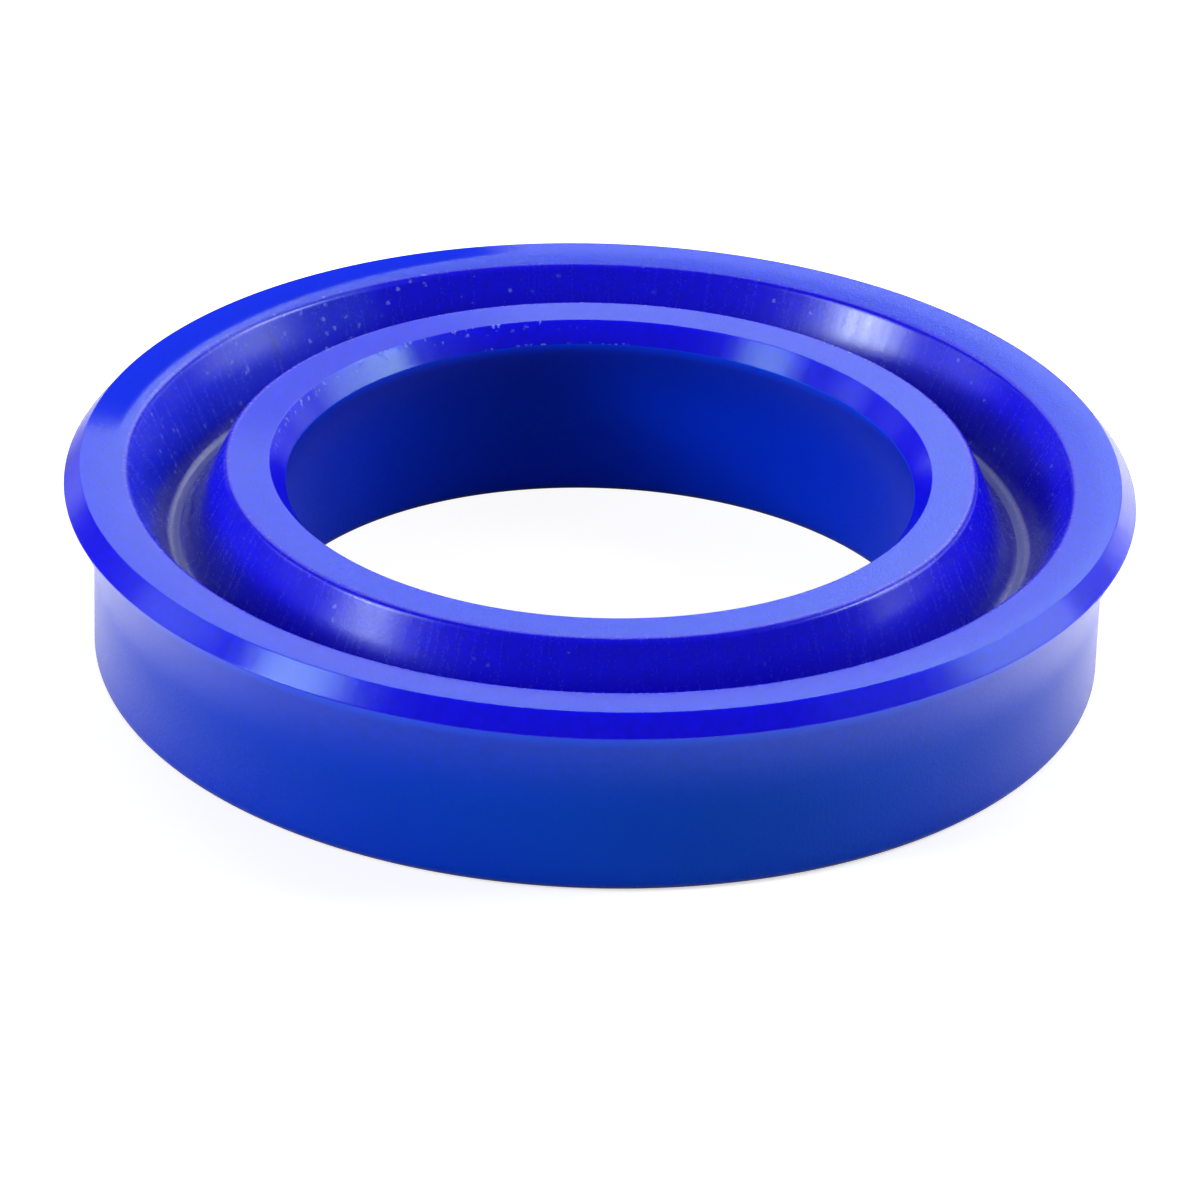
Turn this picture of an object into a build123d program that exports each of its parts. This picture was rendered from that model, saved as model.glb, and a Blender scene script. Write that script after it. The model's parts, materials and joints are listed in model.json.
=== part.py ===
"""Metric U-cup seal: one moulded polyurethane ring with two flared sealing lips.

The ring stands on its flat heel, centred on the origin, with its axis along +Z and the
pressure groove open at the top. Every size is in millimetres. The whole seal is one
profile in the XZ plane, turned once about the Z axis: a solid heel, an inner and an outer
lip that lean out past the heel, and the rounded groove that parts them.
"""

from build123d import *
import math
import os

# Gland size: the rod or piston core through the heel, the radial section and the height.
bore_diameter = 40.0
radial_section = 10.0
seal_height = 12.0

# How far each relaxed lip stands past the heel, where it is squeezed when it is fitted.
outer_lip_overhang = 1.8
inner_lip_overhang = 1.35

# Each lip leaves the heel's wall at this height. The inner one leans out in one arc. The outer
# one bends most at its foot and straightens towards its sealing edge.
outer_flare_height = 5.5
outer_bend_height = 2.1  # above that, where the heel's wall and the lip's line would cross
inner_flare_height = 5.5

# The trimmed bevel that runs from the end of each lip down to its sealing edge.
outer_bevel_width = 0.95
outer_bevel_depth = 1.2
inner_bevel_width = 1.0
inner_bevel_depth = 1.25

# The flat end of each lip, between its bevel and the groove.
outer_lip_thickness = 2.85
inner_lip_thickness = 2.65
outer_end_dish = 0.24  # the outer lip's end sinks this much towards the groove

# The pressure groove.
groove_depth = 4.7
groove_root_radius = 1.0

# Broken edges. The sealing edges are trimmed and stay sharp.
heel_chamfer = 0.3
groove_edge_chamfer = 0.35

# Radii of the heel's two walls and of the two sealing edges.
bore_radius = bore_diameter / 2
heel_radius = bore_radius + radial_section
outer_edge_radius = heel_radius + outer_lip_overhang
inner_edge_radius = bore_radius - inner_lip_overhang

# Corners of the profile, as radius and height.
heel_inner = (bore_radius, 0)
heel_outer = (heel_radius, 0)
outer_flare_start = (heel_radius, outer_flare_height)
outer_flare_bend = (heel_radius, outer_flare_height + outer_bend_height)
outer_sealing_edge = (outer_edge_radius, seal_height - outer_bevel_depth)
outer_end_outside = (outer_edge_radius - outer_bevel_width, seal_height)
outer_end_inside = (outer_end_outside[0] - outer_lip_thickness, seal_height - outer_end_dish)
inner_flare_start = (bore_radius, inner_flare_height)
inner_sealing_edge = (inner_edge_radius, seal_height - inner_bevel_depth)
inner_end_inside = (inner_edge_radius + inner_bevel_width, seal_height)
inner_end_outside = (inner_end_inside[0] + inner_lip_thickness, seal_height)

# The groove's rounded root is centred between the two lips.
root_centre = Vector(
    (outer_end_inside[0] + inner_end_outside[0]) / 2,
    seal_height - groove_depth + groove_root_radius,
)


def wall_foot(mouth_corner, side):
    """Where a straight groove wall from mouth_corner meets the root's arc.

    side is +1 for the outer wall and -1 for the inner one.
    """
    to_corner = Vector(*mouth_corner) - root_centre
    bearing = math.atan2(to_corner.Y, to_corner.X)
    opening = math.acos(groove_root_radius / to_corner.length)
    turn = bearing - side * opening
    return root_centre + Vector(math.cos(turn), math.sin(turn)) * groove_root_radius


outer_wall_foot = wall_foot(outer_end_inside, +1)
inner_wall_foot = wall_foot(inner_end_outside, -1)
root_bottom = root_centre - Vector(0, groove_root_radius)

with BuildPart() as u_cup_seal:
    with BuildSketch(Plane.XZ) as section:
        with BuildLine():
            Line(heel_inner, heel_outer)
            Line(heel_outer, outer_flare_start)
            Bezier(outer_flare_start, outer_flare_bend, outer_sealing_edge)
            Polyline(outer_sealing_edge, outer_end_outside, outer_end_inside, outer_wall_foot)
            ThreePointArc(outer_wall_foot, root_bottom, inner_wall_foot)
            Polyline(inner_wall_foot, inner_end_outside, inner_end_inside, inner_sealing_edge)
            TangentArc(inner_flare_start, inner_sealing_edge, tangent=(0, 1))
            Line(inner_flare_start, heel_inner)
        make_face()
        for corner, width in (
            (heel_inner, heel_chamfer),
            (heel_outer, heel_chamfer),
            (outer_end_inside, groove_edge_chamfer),
            (inner_end_outside, groove_edge_chamfer),
        ):
            chamfer(section.vertices().sort_by_distance(corner)[0], width)
    revolve(axis=Axis.Z)

u_cup_seal.part.label = "u_cup_seal"

os.makedirs("parts", exist_ok=True)
export_step(u_cup_seal.part, "parts/u_cup_seal.step")
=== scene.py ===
"""Polyurethane U-cup seal, dressed and set on a studio floor.

The frame keeps the construction. Over it goes one finely turned ring with the edges that
moulding and trimming leave, in four finishes: the moulded walls, the trimmed bevels, the
flat lip ends and the pressure groove. A pale floor, soft lamps and a camera go round it.
"""

import json
import math
from collections import namedtuple

import bpy
from bpy.props import FloatProperty, FloatVectorProperty, IntProperty, PointerProperty
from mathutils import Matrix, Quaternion, Vector


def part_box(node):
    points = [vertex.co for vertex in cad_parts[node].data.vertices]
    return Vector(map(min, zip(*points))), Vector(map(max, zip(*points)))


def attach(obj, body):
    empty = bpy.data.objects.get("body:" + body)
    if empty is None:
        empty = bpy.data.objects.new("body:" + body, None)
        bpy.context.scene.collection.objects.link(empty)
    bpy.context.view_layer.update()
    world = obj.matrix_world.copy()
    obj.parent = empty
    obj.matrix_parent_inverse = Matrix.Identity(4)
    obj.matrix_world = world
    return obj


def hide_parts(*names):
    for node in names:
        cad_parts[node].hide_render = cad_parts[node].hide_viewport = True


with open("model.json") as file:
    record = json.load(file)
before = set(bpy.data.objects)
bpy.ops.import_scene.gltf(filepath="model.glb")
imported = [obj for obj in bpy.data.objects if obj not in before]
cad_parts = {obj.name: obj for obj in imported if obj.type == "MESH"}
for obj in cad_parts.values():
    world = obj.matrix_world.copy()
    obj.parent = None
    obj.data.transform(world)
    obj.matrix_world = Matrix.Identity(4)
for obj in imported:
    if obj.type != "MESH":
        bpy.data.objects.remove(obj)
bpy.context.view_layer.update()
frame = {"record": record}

bl_info = {
    "name": "U-Cup Seal",
    "version": (1, 0, 0),
    "blender": (4, 5, 0),
    "location": "3D View > Sidebar > Seal",
    "description": "Dresses a moulded U-cup seal and sets it on a studio floor",
    "category": "Object",
}

MM = 0.001
NODE = "u_cup_seal"
BODY = "root"

mount_sizes = {mount["name"]: mount["dims"] for mount in frame["record"]["mounts"]}
_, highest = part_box(NODE)


# ---------------------------------------------------------------------------------------
# Settings


def length(name, description, millimetres):
    """A length in metres whose default is given in millimetres."""
    return FloatProperty(
        name=name,
        description=description,
        default=millimetres * MM,
        min=0.0,
        precision=5,
        unit="LENGTH",
    )


def angle(name, description, degrees):
    """An angle whose default is given in degrees."""
    return FloatProperty(
        name=name, description=description, default=math.radians(degrees), unit="ROTATION"
    )


def colour(name, description, default):
    """A linear colour."""
    return FloatVectorProperty(
        name=name, description=description, default=default, min=0.0, max=1.0, subtype="COLOR"
    )


def amount(name, description, default, top=1.0):
    """A plain number from nothing to top."""
    return FloatProperty(name=name, description=description, default=default, min=0.0, max=top)


class SealSection(bpy.types.PropertyGroup):
    """Sizes of the seal's section. The heel, the height and the outer lip are the frame's."""

    bore_radius: length("Bore radius", "Inner wall of the heel", mount_sizes["heel_bore"]["r_mm"])
    heel_radius: length(
        "Heel radius", "Outer wall of the heel", mount_sizes["heel_outside"]["r_mm"]
    )
    height: length("Height", "From the heel's face to the lips' ends", highest.z / MM)
    lip_radius: length("Lip radius", "Outer sealing edge", highest.x / MM)
    inner_overhang: length("Inner overhang", "How far the inner lip leans past the bore", 1.35)
    flare_height: length("Flare height", "Where both lips leave the heel's walls", 5.5)
    outer_bend_height: length("Outer bend height", "Where the outer wall's lines cross", 2.1)
    outer_bevel_width: length("Outer bevel width", "Across the outer lip's trimmed bevel", 0.95)
    outer_bevel_depth: length("Outer bevel depth", "Down the outer lip's trimmed bevel", 1.2)
    inner_bevel_width: length("Inner bevel width", "Across the inner lip's trimmed bevel", 1.0)
    inner_bevel_depth: length("Inner bevel depth", "Down the inner lip's trimmed bevel", 1.25)
    outer_end_width: length("Outer end width", "Flat end of the outer lip", 2.85)
    inner_end_width: length("Inner end width", "Flat end of the inner lip", 2.65)
    outer_end_dish: length("Outer end dish", "How far the outer lip's end sinks inwards", 0.24)
    groove_depth: length("Groove depth", "From the lips' ends to the groove's root", 4.7)
    root_radius: length("Root radius", "Rounding at the bottom of the groove", 1.0)
    heel_rounding: length("Heel rounding", "Lower corners of the heel", 0.5)
    outer_mouth_rounding: length("Outer mouth rounding", "Groove edge of the outer lip", 0.55)
    inner_mouth_rounding: length("Inner mouth rounding", "Groove edge of the inner lip", 0.45)
    trim_rounding: length("Trim rounding", "Edge between a bevel and a lip's end", 0.07)
    sealing_rounding: length("Sealing edge rounding", "The two sealing edges", 0.1)
    columns: IntProperty(
        name="Columns", description="Faces round the ring", default=720, min=48, max=1024
    )


class SealFinish(bpy.types.PropertyGroup):
    """Colours and gloss of the polyurethane."""

    trimmed_colour: colour("Trimmed colour", "Lip ends, bevels and groove", (0.006, 0.001, 0.92))
    moulded_colour: colour("Moulded colour", "Walls of the heel and flares", (0.0, 0.035, 0.86))
    # Painted glow: a brighter blue laid just under the sealing edges for light coming through them
    painted_glow_colour: colour("Thin colour", "Where light comes through an edge", (0.0, 0.06, 1.0))
    # Painted shade: a dark blue on the heel's lowest rim for the contact shadow and the dark floor
    # it mirrors, not soil
    contact_shade_colour: colour("Contact colour", "Soiled rim of the heel's face", (0.05, 0.02, 0.2))
    torn_colour: colour("Torn colour", "Where trimming tore an end", (0.006, 0.03, 0.86))
    scuff_colour: colour("Scuff colour", "A dark scuff in the groove", (0.0, 0.004, 0.3))
    dust_colour: colour("Dust colour", "Dust, pinholes and frayed edges", (0.3, 0.38, 0.95))
    # Painted reflection: the pale line along the groove's root, where it would mirror the light
    # above, not release agent
    painted_root_sheen_colour: colour("Residue colour", "Release agent in the groove", (0.2, 0.24, 0.65))
    haze_colour: colour("Haze colour", "Rubbed patches", (0.07, 0.13, 0.85))
    trimmed_roughness: amount("Trimmed roughness", "Lip ends, bevels and groove", 0.17)
    moulded_roughness: amount("Moulded roughness", "Walls of the heel and flares", 0.2)
    refraction: amount("Refraction", "Index of refraction", 1.5, top=3.0)
    lip_depth: length("Lip depth", "How far light travels under a thin lip", 2.5)
    wall_depth: length("Wall depth", "How far light travels under the walls", 2.0)
    groove_light_depth: length("Groove light depth", "How far light travels there", 1.0)


class SealStage(bpy.types.PropertyGroup):
    """Floor, lamps and camera."""

    camera_distance: length("Camera distance", "From the middle of the ring", 434.25)
    camera_elevation: angle("Camera elevation", "Above the floor", 27.352)
    camera_roll: angle("Camera roll", "How far the camera leans", 1.866)
    camera_lens: length("Lens", "Focal length on a 36 mm wide sensor", 218.34)
    aim_right: length("Aim right", "Point looked at, right of the axis", 0.205)
    aim_height: length("Aim height", "Point looked at, above the floor", 2.82)
    middle_height: length("Middle height", "Middle of the ring, above the floor", 6.04)
    floor_size: length("Floor size", "Width of the floor", 6000.0)


# ---------------------------------------------------------------------------------------
# Outline of the section

# A corner's finish is that of what follows it, and bend that of its rounding, if another.
Corner = namedtuple("Corner", "place rounding finish bend", defaults=(None,))

# A row's finish is that of the faces between it and the next row.
Row = namedtuple("Row", "place finish")

MOULDED = "moulded_wall"
TRIMMED = "trimmed_bevel"
END = "lip_end"
GROOVE = "pressure_groove"
FINISHES = (MOULDED, TRIMMED, END, GROOVE)

FLARE_STEPS = 9
DISH_SHARES = (0.2, 0.4, 0.6)
ROUNDING_STEP = math.radians(9)
FEWEST_ROUNDING_STEPS = 2
EDGE_HOLD = 0.03 * MM  # from the end of a rounding to the row that holds it


def bent_flare(start, bend, end):
    """Points between start and end on the curve whose end tangents cross at bend."""
    points = []
    for step in range(1, FLARE_STEPS):
        share = step / FLARE_STEPS
        points.append(start.lerp(bend, share).lerp(bend.lerp(end, share), share))
    return points


def round_flare(start, end):
    """Points between start and end on the arc that leaves start along the wall."""
    across = end - start
    radius = across.length_squared / (2 * abs(across.x))
    sweep = math.asin(across.y / radius)
    side = math.copysign(radius, across.x)
    points = []
    for step in range(1, FLARE_STEPS):
        turned = sweep * step / FLARE_STEPS
        points.append(start + Vector((side * (1 - math.cos(turned)), radius * math.sin(turned))))
    return points


def dished(outer_end, outer_mouth):
    """Points between a lip's edges, where its end curves down ever more to the groove."""
    points = []
    for share in DISH_SHARES:
        drop = (outer_end.y - outer_mouth.y) * share * share
        across = outer_end.x + (outer_mouth.x - outer_end.x) * share
        points.append(Vector((across, outer_end.y - drop)))
    return points


def groove_vee(outer_mouth, inner_mouth, centre, radius):
    """Where the groove's two walls would meet below the round root that they touch."""
    normals = []
    for mouth, side in ((outer_mouth, -1), (inner_mouth, 1)):
        to_mouth = mouth - centre
        bearing = math.atan2(to_mouth.y, to_mouth.x)
        turn = bearing + side * math.acos(radius / to_mouth.length)
        normals.append(Vector((math.cos(turn), math.sin(turn))))
    outer, inner = normals
    return centre + (outer + inner) * radius / (1 + outer.dot(inner))


def sharp(points, finish):
    """Corners along a curve, which need no rounding."""
    return [Corner(point, 0, finish) for point in points]


def section_corners(section):
    """The corners of the section, as radius and height, from the heel's outside round."""
    height = section.height
    heel_outside = Vector((section.heel_radius, 0))
    outer_flare = Vector((section.heel_radius, section.flare_height))
    outer_bend = outer_flare + Vector((0, section.outer_bend_height))
    outer_edge = Vector((section.lip_radius, height - section.outer_bevel_depth))
    outer_end = Vector((section.lip_radius - section.outer_bevel_width, height))
    outer_mouth = outer_end - Vector((section.outer_end_width, section.outer_end_dish))
    inner_edge_radius = section.bore_radius - section.inner_overhang
    inner_edge = Vector((inner_edge_radius, height - section.inner_bevel_depth))
    inner_end = Vector((inner_edge_radius + section.inner_bevel_width, height))
    inner_mouth = inner_end + Vector((section.inner_end_width, 0))
    inner_flare = Vector((section.bore_radius, section.flare_height))
    heel_inside = Vector((section.bore_radius, 0))
    root_centre = Vector((
        (outer_mouth.x + inner_mouth.x) / 2,
        height - section.groove_depth + section.root_radius,
    ))
    vee = groove_vee(outer_mouth, inner_mouth, root_centre, section.root_radius)

    return [
        Corner(heel_outside, section.heel_rounding, MOULDED),
        Corner(outer_flare, 0, MOULDED),
        *sharp(bent_flare(outer_flare, outer_bend, outer_edge), MOULDED),
        Corner(outer_edge, section.sealing_rounding, TRIMMED),
        Corner(outer_end, section.trim_rounding, END),
        *sharp(dished(outer_end, outer_mouth), END),
        Corner(outer_mouth, section.outer_mouth_rounding, GROOVE),
        Corner(vee, section.root_radius, GROOVE),
        Corner(inner_mouth, section.inner_mouth_rounding, END, GROOVE),
        Corner(inner_end, section.trim_rounding, TRIMMED),
        Corner(inner_edge, section.sealing_rounding, MOULDED),
        *sharp(reversed(round_flare(inner_flare, inner_edge)), MOULDED),
        Corner(inner_flare, 0, MOULDED),
        Corner(heel_inside, section.heel_rounding, MOULDED),
    ]


def rounded_rows(corners):
    """Rows of points along the section, with each corner rounded.

    A row just before and just after each rounding keeps the flats shading flat.
    """
    rows = []
    befores = corners[-1:] + corners[:-1]
    afters = corners[1:] + corners[:1]
    for before, corner, after in zip(befores, corners, afters):
        if not corner.rounding:
            rows.append(Row(corner.place, corner.finish))
            continue
        back = (before.place - corner.place).normalized()
        ahead = (after.place - corner.place).normalized()
        turn = math.pi - back.angle(ahead)
        reach = corner.rounding * math.tan(turn / 2)
        centre = corner.place + (back + ahead).normalized() * corner.rounding / math.cos(turn / 2)
        start = corner.place + back * reach
        end = corner.place + ahead * reach
        first = (start - centre).normalized()
        last = (end - centre).normalized()
        steps = max(FEWEST_ROUNDING_STEPS, math.ceil(turn / ROUNDING_STEP))
        rows.append(Row(start + back * EDGE_HOLD, before.finish))
        for step in range(steps + 1):
            spoke = first.slerp(last, step / steps)
            rows.append(Row(centre + spoke * corner.rounding, corner.bend or corner.finish))
        rows.append(Row(end + ahead * EDGE_HOLD, corner.finish))
    return rows


def turned_ring(name, rows, columns, materials):
    """A ring object made by turning the rows about the Z axis."""
    vertices = []
    for column in range(columns):
        turn = 2 * math.pi * column / columns
        along = Vector((math.cos(turn), math.sin(turn), 0))
        for row in rows:
            vertices.append(along * row.place.x + Vector((0, 0, row.place.y)))

    faces = []
    finishes = []
    count = len(rows)
    for column in range(columns):
        here = column * count
        there = (column + 1) % columns * count
        for index, row in enumerate(rows):
            following = (index + 1) % count
            faces.append((here + index, there + index, there + following, here + following))
            finishes.append(FINISHES.index(row.finish))

    mesh = bpy.data.meshes.new(name)
    mesh.from_pydata(vertices, [], faces)
    for finish in FINISHES:
        mesh.materials.append(materials[finish])
    mesh.polygons.foreach_set("material_index", finishes)
    mesh.shade_smooth()
    mesh.update()
    ring = bpy.data.objects.new(name, mesh)
    bpy.context.scene.collection.objects.link(ring)
    return ring


# ---------------------------------------------------------------------------------------
# Shader building


class Wire:
    """A shader socket that Python arithmetic can use. Each step adds one Math node."""

    def __init__(self, bench, socket):
        self.bench = bench
        self.socket = socket

    def output(self, name):
        """Another output of the same node."""
        return Wire(self.bench, self.socket.node.outputs[name])

    def math(self, operation, *others):
        """This value and any others through one Math node."""
        inputs = dict(enumerate((self, *others)))
        return self.bench.add("ShaderNodeMath", {"operation": operation}, inputs)

    def __add__(self, other):
        return self.math("ADD", other)

    def __radd__(self, other):
        return self.math("ADD", other)

    def __sub__(self, other):
        return self.math("SUBTRACT", other)

    def __rsub__(self, other):
        return self.bench.add("ShaderNodeMath", {"operation": "SUBTRACT"}, {0: other, 1: self})

    def __mul__(self, other):
        return self.math("MULTIPLY", other)

    def __rmul__(self, other):
        return self.math("MULTIPLY", other)

    def __truediv__(self, other):
        return self.math("DIVIDE", other)


class Bench:
    """A node tree that is being wired."""

    def __init__(self, tree):
        self.tree = tree
        tree.nodes.clear()

    def add(self, kind, settings=None, inputs=None, output=0):
        """Adds a node, sets it up, fills or links its sockets and returns one output."""
        node = self.tree.nodes.new(kind)
        for name, value in (settings or {}).items():
            setattr(node, name, value)
        for name, value in (inputs or {}).items():
            if isinstance(value, Wire):
                self.tree.links.new(value.socket, node.inputs[name])
            else:
                node.inputs[name].default_value = value
        return Wire(self, node.outputs[output]) if node.outputs else None

    def ramp(self, value, low, high, floor=0.0, top=1.0):
        """Eases from floor to top as the value goes from low to high."""
        settings = {"interpolation_type": "SMOOTHSTEP"}
        inputs = {"Value": value, "From Min": low, "From Max": high, "To Min": floor, "To Max": top}
        return self.add("ShaderNodeMapRange", settings, inputs, "Result")

    def fall(self, value, low, high):
        """Eases from 1 down to 0 as the value goes from low to high."""
        return self.ramp(value, low, high, 1.0, 0.0)

    def band(self, value, middle, half, fade):
        """A mask within half of a middle value that fades out over fade past it."""
        return self.fall((value - middle).math("ABSOLUTE"), half, half + fade)

    def blend(self, factor, first, second):
        """Mixes two colours."""
        settings = {"data_type": "RGBA", "clamp_factor": True}
        inputs = {0: factor, 6: opaque(first), 7: opaque(second)}
        return self.add("ShaderNodeMix", settings, inputs, 2)

    def layered(self, base, *layers):
        """Lays colours over a base one after another, each through its own mask."""
        for mask, colour_value in layers:
            base = self.blend(mask, base, colour_value)
        return base

    def noise(self, vector, size, detail=2.0, roughness=0.5):
        """Soft noise whose lumps are about one size across."""
        inputs = {"Vector": vector, "Scale": 1 / size, "Detail": detail, "Roughness": roughness}
        return self.add("ShaderNodeTexNoise", {}, inputs, "Fac")


# A speck shows faintly from the first of these sums of its chance and the share, and wholly
# from the second. Its solid core and its unevenness are shares of its reach.
SPECK_CHANCE = (0.95, 1.15)
SPECK_CORE = 0.4
SPECK_UNEVENNESS = 2.5

# A mottled colour goes from its darkest to its full share over these values of its noise
MOTTLE_SPREAD = (0.36, 0.64)
MOTTLE_SIZE = 0.6 * MM

# The middle of the groove, round which the drawn marks run true to size
MIDDLE_RADIUS = 25 * MM


def opaque(value):
    """A colour with its alpha, or a wire as it is."""
    return value if isinstance(value, Wire) else (*value, 1.0)


def scaled(colour_value, share):
    """A colour made darker or brighter by one share."""
    return tuple(share * part for part in colour_value)


class Place:
    """Where a point of the seal is: its radius, height and direction from the axis."""

    def __init__(self, bench):
        self.bench = bench
        self.point = bench.add("ShaderNodeTexCoord", output="Object")
        self.x = bench.add("ShaderNodeSeparateXYZ", {}, {"Vector": self.point}, "X")
        self.y = self.x.output("Y")
        self.height = self.x.output("Z")
        self.radius = (self.x * self.x + self.y * self.y).math("SQRT")

    def facing(self, degrees):
        """How directly a point of the ring lies towards an azimuth, from -1 to 1."""
        turn = math.radians(degrees)
        across = self.x * math.cos(turn) + self.y * math.sin(turn)
        return across / self.radius

    def arc(self, start, end, fade):
        """A mask from one azimuth to another that fades out over fade degrees past each."""
        half = (end - start) / 2
        low = math.cos(math.radians(half + fade))
        high = math.cos(math.radians(half))
        return self.bench.ramp(self.facing(start + half), low, high)

    def drawn(self, along, across):
        """Fine noise whose lumps are along long round the ring and across wide over it."""
        turns = MIDDLE_RADIUS / along
        inputs = {
            "X": self.x / self.radius * turns,
            "Y": self.y / self.radius * turns,
            "Z": (self.radius - self.height) / across,
        }
        vector = self.bench.add("ShaderNodeCombineXYZ", {}, inputs)
        return self.bench.noise(vector, 1.0, detail=3.0)

    def specks(self, size, spacing, share):
        """Small uneven spots, some faint, at about a share of places one spacing apart."""
        inputs = {"Vector": self.point, "Scale": 1 / spacing}
        distance = self.bench.add("ShaderNodeTexVoronoi", {}, inputs, "Distance")
        inputs = {"Color": distance.output("Color")}
        chance = self.bench.add("ShaderNodeSeparateColor", {}, inputs, "Red")
        present = self.bench.ramp(chance + share, *SPECK_CHANCE)
        reach = size / spacing / 2
        uneven = (self.bench.noise(self.point, size / 2) - 0.5) * (reach * SPECK_UNEVENNESS)
        return self.bench.fall(distance + uneven, reach * SPECK_CORE, reach) * present

    def mottled(self, colour_value, darkest):
        """A finely grained colour that goes down to a share of itself in places."""
        grain = self.bench.noise(self.point, MOTTLE_SIZE, detail=3.0, roughness=0.75)
        spread = self.bench.ramp(grain, *MOTTLE_SPREAD)
        return self.bench.blend(spread, scaled(colour_value, darkest), colour_value)


# ---------------------------------------------------------------------------------------
# Finishes

# Depth is how far light travels inside, and tint is how much red the gloss keeps.
Grade = namedtuple("Grade", "roughness depth gloss tint bump_height")

# How far red, green and blue light travel inside, as shares of the depth
LIGHT_REACH = (0.3, 0.5, 1.0)

# What a patch that has lost its gloss has in place of its finish's own values
DULLED = {"IOR": 1.15, "Specular IOR Level": 0.1, "Specular Tint": (0.0, 0.6, 1.0, 1.0)}

# Distances from the axis between which what is on the inner lip alone ends
PAST_INNER_BEVEL = (21 * MM, 22 * MM)
PAST_INNER_END = (25 * MM, 26 * MM)

# Wear and dirt round the ring: from one azimuth to another and the fade past each, in degrees
RUBBED_BEVEL = (134, 152, 4)
FRAYED_BEVEL = (105, 172, 16)
NICKED_BEVEL = (80, 110, 12)
WORN_INNER_END = (125, 158, 25)
RUBBED_GROOVE = (126, 143, 7)
FILMED_GROOVE = (145, 185, 30)
DUSTY_GROOVE = (128, 152, 35)
SCUFFED_GROOVE = (138.1, 138.3, 0.6)

# The torn part of the outer end: the azimuths of its middle and of where it is widest, and
# how directly a point has to face its middle to be at its edge or well inside
TORN_MIDDLE = 138
TORN_WIDEST = 150
TORN_FACING = (0.766, 0.87)


def polyurethane(name, finish, paint, grade):
    """A satin, slightly translucent polyurethane.

    paint(bench, place) gives the base colour, what to add to the roughness and the
    height for the bump, and then, if any, a mask of where the surface has lost its gloss.
    """
    material = bpy.data.materials.new(name)
    material.use_nodes = True
    bench = Bench(material.node_tree)
    place = Place(bench)
    base, roughening, relief, *dull = paint(bench, place)
    inputs = {"Height": relief, "Strength": 1.0, "Distance": grade.bump_height}
    bump = bench.add("ShaderNodeBump", {}, inputs)
    sockets = {
        "Base Color": base,
        "Roughness": roughening + grade.roughness,
        "Normal": bump,
        "IOR": finish.refraction,
        "Specular IOR Level": grade.gloss,
        "Specular Tint": (grade.tint, 1.0, 1.0, 1.0),
        "Subsurface Weight": 1.0,
        "Subsurface Radius": LIGHT_REACH,
        "Subsurface Scale": grade.depth,
    }
    settings = {"subsurface_method": "BURLEY"}
    shader = bench.add("ShaderNodeBsdfPrincipled", settings, sockets)
    if dull:
        matt = bench.add("ShaderNodeBsdfPrincipled", settings, {**sockets, **DULLED})
        shader = bench.add("ShaderNodeMixShader", {}, {0: dull[0], 1: shader, 2: matt})
    bench.add("ShaderNodeOutputMaterial", {}, {"Surface": shader})
    return material


def trimmed_grade(finish, depth, tint, bump_height):
    """The gloss of the lips' trimmed faces and the groove."""
    roughness = finish.trimmed_roughness
    return Grade(roughness, depth, gloss=0.5, tint=tint, bump_height=bump_height)


def moulded_wall(finish, section):
    """The walls of the heel and the flares, as the mould leaves them.

    A painted glow just under the sealing edges stands in for light coming through them, the bore
    and the outer wall's foot have painted shade, and the rim that the heel stands on has painted
    contact shade.
    """
    colour_value = finish.moulded_colour
    edge_height = section.height - section.outer_bevel_depth
    # Painted shade: radii near the bore where the wall is laid a tenth darker
    bore_edge = (section.bore_radius + 0.4 * MM, section.bore_radius + 1.0 * MM)
    # Painted shade: heights over which the outer wall darkens towards its foot
    foot = (4 * MM, 9.5 * MM)
    # Painted glow: heights just under the sealing edge that get the brighter blue
    painted_glow_edge = (edge_height - 1.0 * MM, edge_height - 0.1 * MM)
    # Painted shade: heights of the bottom rim that get the dark contact shade
    contact_shade_rim = (0.12 * MM, 0.45 * MM)

    def paint(bench, place):
        inside = bench.fall(place.radius, *bore_edge)
        low = bench.fall(place.height, *foot) * (1 - inside)
        dust = place.specks(size=0.2 * MM, spacing=2.0 * MM, share=0.1)
        base = bench.layered(
            place.mottled(colour_value, darkest=0.9),
            (inside, scaled(colour_value, 0.9)),
            (low, scaled(colour_value, 0.76)),
            (bench.ramp(place.height, *painted_glow_edge), finish.painted_glow_colour),
            (bench.fall(place.height, *contact_shade_rim), finish.contact_shade_colour),
            (dust * 0.3, finish.dust_colour),
        )
        grain = bench.noise(place.point, 0.18 * MM)
        return base, (grain - 0.5) * 0.1, grain

    roughness = finish.moulded_roughness
    grade = Grade(roughness, finish.wall_depth, gloss=0.3, tint=0.1, bump_height=0.022 * MM)
    return polyurethane(MOULDED, finish, paint, grade)


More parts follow.
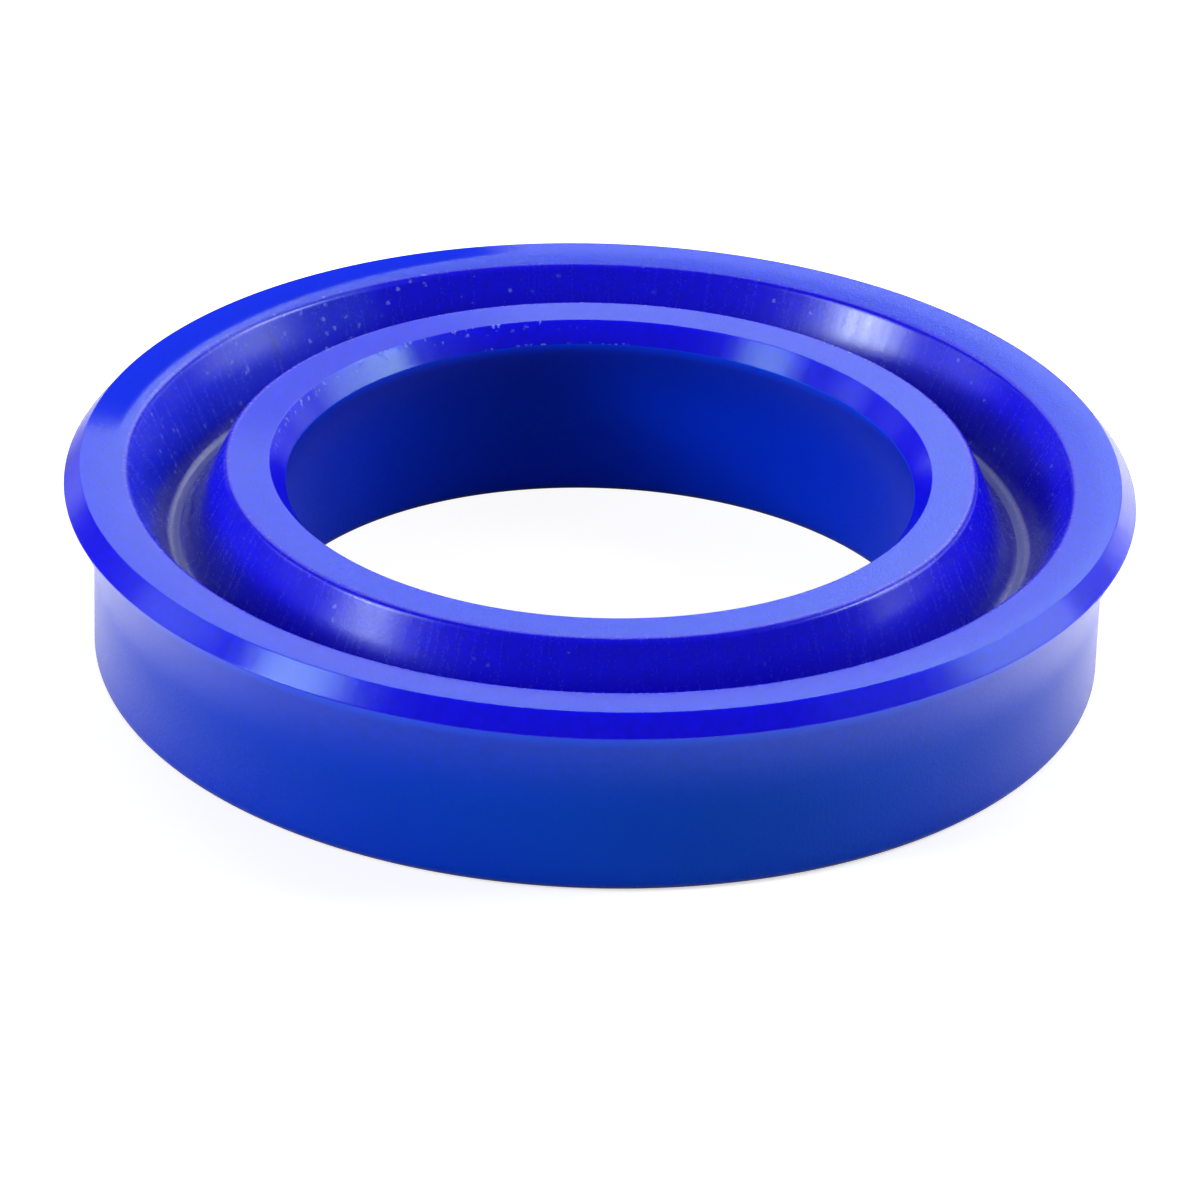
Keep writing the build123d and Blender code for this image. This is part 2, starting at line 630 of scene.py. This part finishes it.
def trimmed_bevel(finish, section):
    """The bevels cut at the end of each lip.

    The inner one is frayed along its upper edge, nicked along its lower one and rubbed
    pale on one side.
    """
    upper_edge = section.bore_radius - section.inner_overhang + section.inner_bevel_width
    frayed_strip = (upper_edge - 0.45 * MM, upper_edge - 0.1 * MM)
    nicked_strip = (upper_edge - 0.95 * MM, upper_edge - 0.85 * MM)

    def paint(bench, place):
        inner = bench.fall(place.radius, *PAST_INNER_BEVEL)
        grit = bench.noise(place.point, 0.13 * MM)
        rubbed = place.arc(*RUBBED_BEVEL) * inner
        crumbs = place.specks(size=0.34 * MM, spacing=0.4 * MM, share=0.5)
        near_upper = bench.ramp(place.radius, *frayed_strip)
        frayed = place.arc(*FRAYED_BEVEL) * inner * near_upper * crumbs
        near_lower = bench.fall(place.radius, *nicked_strip)
        nicked = place.arc(*NICKED_BEVEL) * near_lower * inner * crumbs
        dust = place.specks(size=0.22 * MM, spacing=1.4 * MM, share=0.2)
        base = bench.layered(
            place.mottled(scaled(finish.trimmed_colour, 1.08), darkest=0.88),
            (rubbed * (0.05 + grit * 0.2), finish.haze_colour),
            (frayed * 0.6, finish.dust_colour),
            (nicked * 0.6, finish.dust_colour),
            (dust * 0.5, finish.dust_colour),
        )
        streaks = place.drawn(along=0.25 * MM, across=3 * MM)
        roughening = (streaks - 0.5) * 0.14 + (grit - 0.5) * 0.2 + frayed * 0.2 + 0.02
        relief = streaks * 0.3 + grit * (rubbed * 0.5 + 0.3) + frayed
        return base, roughening, relief

    grade = trimmed_grade(finish, finish.lip_depth, tint=0.6, bump_height=0.014 * MM)
    return polyurethane(TRIMMED, finish, paint, grade)


def lip_end(finish, section):
    """The flat ends of the lips.

    Part of the outer one is dull, where the trimming tore it, and part of the inner one
    is a little worn.
    """
    outer_mouth = section.lip_radius - section.outer_bevel_width - section.outer_end_width
    torn_from = outer_mouth + 0.6 * MM
    torn_slant = 3 * MM
    torn_edge = (-0.15 * MM, 0.35 * MM)

    def paint(bench, place):
        boundary = (1 - place.facing(TORN_WIDEST)) * torn_slant + torn_from
        ragged = (bench.noise(place.point, 2.5 * MM) - 0.5) * 0.06
        torn = bench.ramp(place.radius - boundary, *torn_edge)
        torn = torn * bench.ramp(place.facing(TORN_MIDDLE) + ragged, *TORN_FACING)
        inner = bench.ramp(place.radius, *PAST_INNER_END, floor=0.35, top=0.0)
        worn = place.arc(*WORN_INNER_END) * inner
        dust = place.specks(size=0.22 * MM, spacing=2.0 * MM, share=0.12)
        base = bench.layered(
            place.mottled(finish.trimmed_colour, darkest=0.88),
            (dust * 0.7, finish.dust_colour),
            (torn, finish.torn_colour),
        )
        grain = bench.noise(place.point, 0.15 * MM)
        return base, (grain - 0.5) * 0.14 + torn * 0.4, grain, torn.math("MAXIMUM", worn)

    grade = trimmed_grade(finish, finish.lip_depth, tint=0.2, bump_height=0.018 * MM)
    return polyurethane(END, finish, paint, grade)


def pressure_groove(finish, section):
    """The groove, with a pale painted reflection along its root and painted shade down in it.

    Dust and pinholes gather in one stretch of it, where a patch of the outer wall is
    rubbed pale and has a dark scuff.
    """
    outer_mouth = section.lip_radius - section.outer_bevel_width - section.outer_end_width
    inner_edge = section.bore_radius - section.inner_overhang
    inner_mouth = inner_edge + section.inner_bevel_width + section.inner_end_width
    root = (outer_mouth + inner_mouth) / 2
    root_height = section.height - section.groove_depth
    # Painted shade: heights over which the groove darkens to six tenths towards its root
    painted_shade_depths = (root_height + 1.5 * MM, root_height + 3.8 * MM)
    outer_wall = (root + 0.8 * MM, root + 1.2 * MM)
    upper_wall = (root_height + 1.8 * MM, root_height + 3.2 * MM)
    root_sheen_height = (root_height + 0.5 * MM, root_height + 1.0 * MM)

    def paint(bench, place):
        grain = bench.noise(place.point, 0.16 * MM, detail=3.0)
        outer = bench.ramp(place.radius, *outer_wall)
        rubbed = place.arc(*RUBBED_GROOVE) * outer * bench.ramp(place.height, *upper_wall)
        filmed = place.arc(*FILMED_GROOVE) * outer
        scuff = bench.band(place.height, root_height + 2.9 * MM, 0.3 * MM, 0.9 * MM)
        scuff = place.arc(*SCUFFED_GROOVE) * outer * scuff
        dust_share = place.arc(*DUSTY_GROOVE) * 0.45 + 0.1
        dust = place.specks(size=0.32 * MM, spacing=0.75 * MM, share=dust_share)
        # Painted reflection: a pale line along the root, where the rounded root mirrors the light
        # above
        root_sheen = bench.band(place.radius, root, 0.15 * MM, 0.1 * MM)
        root_sheen = root_sheen * bench.fall(place.height, *root_sheen_height)
        base = bench.layered(
            place.mottled(finish.trimmed_colour, darkest=0.86),
            (bench.fall(place.height, *painted_shade_depths), scaled(finish.trimmed_colour, 0.6)),
            (rubbed * (grain * 0.5 + 0.05), finish.haze_colour),
            (filmed * (grain * 0.5 + 0.2), finish.moulded_colour),
            (scuff * 0.4, finish.scuff_colour),
            (dust * 0.55, finish.dust_colour),
            (root_sheen * (0.4 + grain), finish.painted_root_sheen_colour),
        )
        streaks = place.drawn(along=0.3 * MM, across=3 * MM)
        roughening = (streaks - 0.5) * 0.16 + (grain - 0.5) * 0.15
        roughening = roughening + dust * 0.2 + root_sheen * 0.35 + 0.08
        return base, roughening, grain * 0.5 + streaks * 0.2 + dust * 0.4

    depth = finish.groove_light_depth
    grade = trimmed_grade(finish, depth, tint=0.85, bump_height=0.008 * MM)
    return polyurethane(GROOVE, finish, paint, grade)


# ---------------------------------------------------------------------------------------
# Stage

Lamp = namedtuple("Lamp", "name azimuth elevation width height radiance")

LAMP_DISTANCE = 1.0
LAMPS = (
    Lamp("left_softbox_low", 201, 21, 0.25, 0.16, 25.0),
    Lamp("left_softbox", 201, 31, 0.25, 0.19, 9.5),
    Lamp("left_softbox_high", 201, 42, 0.25, 0.19, 6.2),
    Lamp("left_card", 170, 20.5, 0.3, 0.4, 1.5),
    Lamp("left_card_far", 148, 19, 0.28, 0.14, 0.45),
    Lamp("left_card_low", 122, 0, 0.36, 0.14, 0.8),
    Lamp("right_softbox_low", 11, 14, 0.5, 0.18, 3.2),
    Lamp("right_softbox", 12, 27, 0.48, 0.26, 3.4),
    Lamp("right_softbox_high", 11, 40, 0.45, 0.2, 11.0),
    Lamp("right_card", 41, 15, 0.36, 0.16, 1.1),
    Lamp("right_card_low", 56, 4, 0.26, 0.12, 0.5),
    Lamp("right_card_edge", 42, 3, 0.2, 0.11, 1.3),
    Lamp("front_card", 335, 40, 0.3, 0.2, 0.25),
    Lamp("back_card_low", 90, 17, 0.8, 0.2, 1.2),
    Lamp("back_card", 92, 26, 0.8, 0.12, 1.5),
    Lamp("back_card_right", 68, 35, 0.5, 0.2, 3.8),
    Lamp("back_card_middle", 90, 34, 0.22, 0.18, 1.7),
    Lamp("back_card_left", 113, 35, 0.44, 0.2, 1.5),
    Lamp("back_softbox_high", 90, 55, 1.2, 0.35, 1.8),
)

# Distances from the axis between which the floor's looks change
UNDER_HEEL = (21 * MM, 29 * MM)
AT_FOOT = (29 * MM, 33 * MM)
PAST_FOOT = (33 * MM, 45 * MM)
CLEAR_OF_RING = (45 * MM, 80 * MM)
FAR_OFF = (110 * MM, 220 * MM)

# and distances to the right of it, or to either side
LEFT_TO_RIGHT = (-30 * MM, 30 * MM)
TO_THE_RIGHT = (0.0, 60 * MM)
TO_EITHER_SIDE = (20 * MM, 32 * MM)

FLOOR_DROP = 0.02 * MM  # keeps the floor from touching the heel
ROOM_LIGHT = 0.11  # strength of the dim room round the stage
SENSOR_WIDTH = 36  # in millimetres
FRONT = -90  # azimuth of the camera


def aimed(obj, place, target, lean=0.0):
    """Sets an object on the stage, with its -Z axis towards the target and rolled by lean."""
    look = (target - place).to_track_quat("-Z", "Y")
    obj.location = place
    obj.rotation_euler = (look @ Quaternion((0, 0, 1), lean)).to_euler()
    bpy.context.scene.collection.objects.link(obj)


def around(azimuth, elevation, distance):
    """A place seen from the middle of the ring, by azimuth from +X and elevation."""
    turn = math.radians(azimuth)
    rise = math.radians(elevation)
    flat = math.cos(rise)
    return Vector((flat * math.cos(turn), flat * math.sin(turn), math.sin(rise))) * distance


def soft_lamp(lamp):
    """A rectangular softbox of one radiance that faces the ring and isn't seen itself."""
    light = bpy.data.lights.new(lamp.name, "AREA")
    light.shape = "RECTANGLE"
    light.size = lamp.width
    light.size_y = lamp.height
    light.energy = lamp.radiance * math.pi * lamp.width * lamp.height
    softbox = bpy.data.objects.new(lamp.name, light)
    softbox.visible_camera = False
    place = around(lamp.azimuth, lamp.elevation, LAMP_DISTANCE)
    aimed(softbox, place, Vector((0, 0, 0)))


def seen_directly(bench):
    """1 for rays from the camera, also those that passed through glass, else 0."""
    camera_ray = bench.add("ShaderNodeLightPath", output="Is Camera Ray")
    return camera_ray.math("MAXIMUM", camera_ray.output("Is Transmission Ray"))


def mirrored_glow(bench, place, far, left):
    """How bright the seal's gloss sees the floor.

    It is dim at the ring's foot and away to the left, and brighter on the right, on
    either side of the foot and towards the horizon.
    """
    right = bench.ramp(place.x, *TO_THE_RIGHT)
    foot = bench.fall(place.radius, *PAST_FOOT)
    sides = bench.ramp(place.x.math("ABSOLUTE"), *TO_EITHER_SIDE) * foot
    glow = bench.ramp(place.radius, *AT_FOOT, floor=0.1, top=0.4) * (1 - left * far)
    horizon = bench.ramp(place.radius, *FAR_OFF, top=0.5)
    return glow + horizon + right * (far * 0.5 + 0.25) + sides * 0.17


def floor_material():
    """White where it is seen, but for a faint shade near the ring, and lit as grey paper with
    painted shade: darker inside the ring and, well clear of it, to the left.
    """
    material = bpy.data.materials.new("studio_floor")
    material.use_nodes = True
    bench = Bench(material.node_tree)
    place = Place(bench)
    far = bench.ramp(place.radius, *CLEAR_OF_RING)
    left = bench.fall(place.x, *LEFT_TO_RIGHT)
    near_glow = bench.ramp(place.radius, *UNDER_HEEL, floor=0.93, top=0.63)
    seen_glow = near_glow + far * (1 - near_glow)
    glossy_ray = bench.add("ShaderNodeLightPath", output="Is Glossy Ray")
    glow = seen_directly(bench) * seen_glow + glossy_ray * mirrored_glow(bench, place, far, left)
    emission = bench.add("ShaderNodeEmission", {}, {"Strength": glow})
    # Painted shade: the paper is a darker grey inside the ring and, well clear of it, to the left
    grey = bench.ramp(place.radius, *UNDER_HEEL, floor=0.2, top=0.85) - left * far * 0.5
    paper_colour = bench.add("ShaderNodeCombineColor", {}, {0: grey, 1: grey, 2: grey})
    paper = bench.add("ShaderNodeBsdfDiffuse", {}, {"Color": paper_colour})
    both = bench.add("ShaderNodeAddShader", {}, {0: emission, 1: paper})
    bench.add("ShaderNodeOutputMaterial", {}, {"Surface": both})
    return material


def studio_floor(size):
    """A wide pale floor just under the heel."""
    half = size / 2
    outline = ((-half, -half), (half, -half), (half, half), (-half, half))
    corners = [(x, y, -FLOOR_DROP) for x, y in outline]
    mesh = bpy.data.meshes.new("studio_floor")
    mesh.from_pydata(corners, [], [(0, 1, 2, 3)])
    mesh.materials.append(floor_material())
    floor = bpy.data.objects.new("studio_floor", mesh)
    bpy.context.scene.collection.objects.link(floor)


def studio_world():
    """White where the camera sees it, and a dim room everywhere else."""
    world = bpy.data.worlds.new("studio")
    world.use_nodes = True
    bench = Bench(world.node_tree)
    strength = seen_directly(bench) * (1 - ROOM_LIGHT) + ROOM_LIGHT
    inputs = {"Color": (1.0, 1.0, 1.0, 1.0), "Strength": strength}
    background = bench.add("ShaderNodeBackground", {}, inputs)
    bench.add("ShaderNodeOutputWorld", {}, {"Surface": background})
    bpy.context.scene.world = world


def studio_camera(stage):
    """The camera, looking down at the ring from the front."""
    data = bpy.data.cameras.new("camera")
    data.sensor_width = SENSOR_WIDTH
    data.lens = stage.camera_lens / MM
    camera = bpy.data.objects.new("camera", data)
    middle = Vector((0, 0, stage.middle_height))
    rise = math.degrees(stage.camera_elevation)
    place = middle + around(FRONT, rise, stage.camera_distance)
    target = Vector((stage.aim_right, 0, stage.aim_height))
    aimed(camera, place, target, stage.camera_roll)
    bpy.context.scene.camera = camera


# ---------------------------------------------------------------------------------------
# Operators


class SEAL_OT_ring(bpy.types.Operator):
    """Turns the seal ring and gives it its finishes"""

    bl_idname = "seal.ring"
    bl_label = "Turn the Ring"

    def execute(self, context):
        section = context.scene.seal_section
        finish = context.scene.seal_finish
        materials = {
            MOULDED: moulded_wall(finish, section),
            TRIMMED: trimmed_bevel(finish, section),
            END: lip_end(finish, section),
            GROOVE: pressure_groove(finish, section),
        }
        rows = rounded_rows(section_corners(section))
        ring = turned_ring("seal_ring", rows, section.columns, materials)
        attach(ring, BODY)
        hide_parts(NODE)
        return {"FINISHED"}


class SEAL_OT_stage(bpy.types.Operator):
    """Lays the floor, hangs the lamps and places the camera"""

    bl_idname = "seal.stage"
    bl_label = "Set the Stage"

    def execute(self, context):
        stage = context.scene.seal_stage
        studio_floor(stage.floor_size)
        studio_world()
        for lamp in LAMPS:
            soft_lamp(lamp)
        studio_camera(stage)
        context.scene.view_settings.view_transform = "Standard"
        return {"FINISHED"}


class SEAL_PT_sidebar(bpy.types.Panel):
    """The seal's settings and its two steps"""

    bl_idname = "SEAL_PT_sidebar"
    bl_label = "U-Cup Seal"
    bl_space_type = "VIEW_3D"
    bl_region_type = "UI"
    bl_category = "Seal"

    def draw(self, context):
        layout = self.layout
        layout.operator(SEAL_OT_ring.bl_idname)
        layout.operator(SEAL_OT_stage.bl_idname)
        for group in SETTINGS:
            settings = getattr(context.scene, group)
            box = layout.box()
            for name in settings.__annotations__:
                box.prop(settings, name)


SETTINGS = {"seal_section": SealSection, "seal_finish": SealFinish, "seal_stage": SealStage}
CLASSES = (*SETTINGS.values(), SEAL_OT_ring, SEAL_OT_stage, SEAL_PT_sidebar)


def register():
    """Adds the classes and the scene's settings."""
    for kind in CLASSES:
        bpy.utils.register_class(kind)
    for name, kind in SETTINGS.items():
        setattr(bpy.types.Scene, name, PointerProperty(type=kind))


def unregister():
    """Takes away what register added."""
    for name in SETTINGS:
        delattr(bpy.types.Scene, name)
    for kind in reversed(CLASSES):
        bpy.utils.unregister_class(kind)


def main():
    """Builds everything in order."""
    register()
    bpy.ops.seal.ring()
    bpy.ops.seal.stage()


if __name__ == "__main__":
    main()
